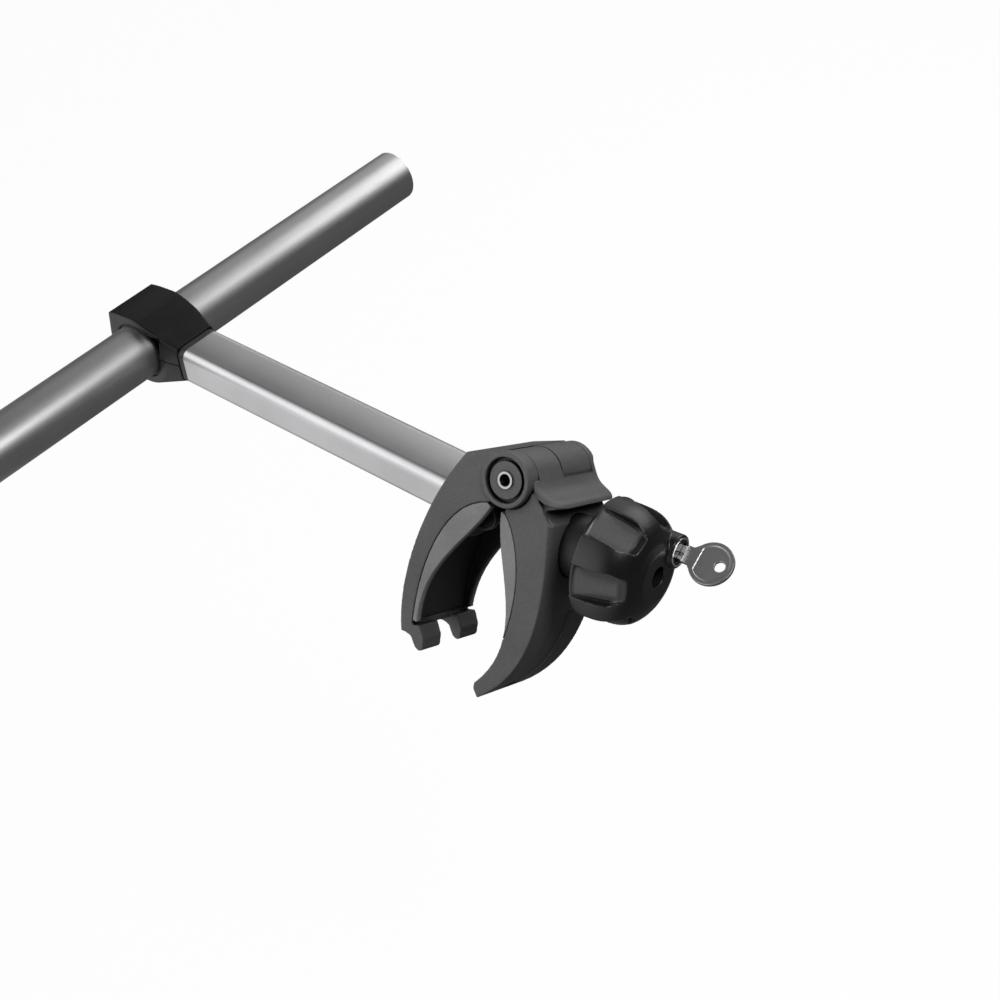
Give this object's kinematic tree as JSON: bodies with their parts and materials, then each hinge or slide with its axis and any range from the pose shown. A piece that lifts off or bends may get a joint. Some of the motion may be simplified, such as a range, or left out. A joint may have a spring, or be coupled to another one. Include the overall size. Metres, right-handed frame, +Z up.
{
  "type": "bicycle frame holder arm",
  "caption": "Lockable clamping jaw on a tubular arm, collared to a round hoop tube; a star knob with a key lock closes the jaw on a bicycle frame.",
  "frame": {"origin": "on the hoop tube's axis, where the arm's axis crosses it", "axes": "+X along the arm from the hoop to the jaw, +Y along the hoop tube, +Z up"},
  "size_m": [0.4028, 0.355, 0.1372],
  "materials": {
    "hoop_aluminium": "satin anodised",
    "arm_aluminium": "satin anodised",
    "liner_plastic": "matte",
    "collar_plastic": "fine moulded grain",
    "bush_plastic": "fine moulded grain",
    "steel": "zinc plated",
    "jaw_plastic": "fine moulded grain",
    "pad_rubber": "matte",
    "knob_plastic": "satin moulded",
    "cup_plastic": "satin moulded",
    "brass": "turned",
    "lock_chrome": "polished",
    "key_steel": "nickel plated, satin"
  },
  "bodies": {
    "hoop": {"hoop_tube": "hoop_aluminium"},
    "slider": {"liner_upper": "liner_plastic", "liner_lower": "liner_plastic"},
    "arm": {"collar_upper": "collar_plastic", "collar_lower": "collar_plastic", "collar_pin": "steel", "clamp_screw": "steel", "clamp_nut": "steel", "arm_bush": "bush_plastic", "arm_tube": "arm_aluminium", "tube_rivets": "steel", "end_plug": "bush_plastic", "swivel_washer": "steel", "swivel_screw": "steel"},
    "head": {"inner_jaw": "jaw_plastic", "inner_pad": "pad_rubber", "pivot_rivet": "steel", "pivot_discs": "jaw_plastic"},
    "swing_jaw": {"outer_jaw": "jaw_plastic", "outer_pad": "pad_rubber"},
    "rod": {"clamp_rod": "steel", "trunnion": "steel"},
    "carriage": {"thrust_cup": "cup_plastic", "thrust_washer": "steel"},
    "knob": {"knob_shell": "knob_plastic", "knob_nut": "brass", "knob_base": "knob_plastic", "knob_screws": "steel"},
    "lock": {"lock_barrel": "lock_chrome", "lock_cam": "steel"},
    "key_body": {"key": "key_steel"}
  },
  "joints": [
    {"name": "arm_slide", "type": "slide", "parent": "hoop", "child": "slider", "axis": [0, 1, 0], "range_m": [-0.13, 0.185]},
    {"name": "arm_turn", "type": "hinge", "parent": "slider", "child": "arm", "pos_m": [0, 0, 0], "axis": [0, 1, 0], "range_deg": [-110, 110]},
    {"name": "head_swivel", "type": "hinge", "parent": "arm", "child": "head", "pos_m": [0.2712, 0, 0], "axis": [1, 0, 0], "range_deg": [-180, 180]},
    {"name": "jaw_open", "type": "hinge", "parent": "head", "child": "swing_jaw", "pos_m": [0.2712, 0.0119, 0.02061], "axis": [0, -0.866, 0.5], "range_deg": [-12.3, 26.3]},
    {"name": "rod_swing", "type": "hinge", "parent": "head", "child": "rod", "pos_m": [0.2537, -0.00263, -0.00456], "axis": [0, -0.866, 0.5], "range_deg": [-7.4, 15.8]},
    {"name": "knob_travel", "type": "slide", "parent": "rod", "child": "carriage", "axis": [0.9971, 0.0384, 0.0664], "range_m": [-0.0057, 0.0122]},
    {"name": "knob_spin", "type": "hinge", "parent": "carriage", "child": "knob", "pos_m": [0.3182, -0.00015, -0.00026], "axis": [0.9971, 0.0384, 0.0664], "range_deg": [-1620, 3480]},
    {"name": "lock_turn", "type": "hinge", "parent": "knob", "child": "lock", "pos_m": [0.3173, 0.01636, 0.00368], "axis": [0.9971, 0.0384, 0.0664], "range_deg": [0, 90]},
    {"name": "key_pull", "type": "slide", "parent": "lock", "child": "key_body", "axis": [0.9971, 0.0384, 0.0664], "range_m": [0, 0.026]}
  ],
  "couplings": [
    {"joint": "jaw_open", "follows": "knob_spin", "ratio": 0.0075073},
    {"joint": "rod_swing", "follows": "knob_spin", "ratio": 0.0045044},
    {"joint": "knob_travel", "follows": "knob_spin", "m_per_rad": 0.00019894}
  ]
}
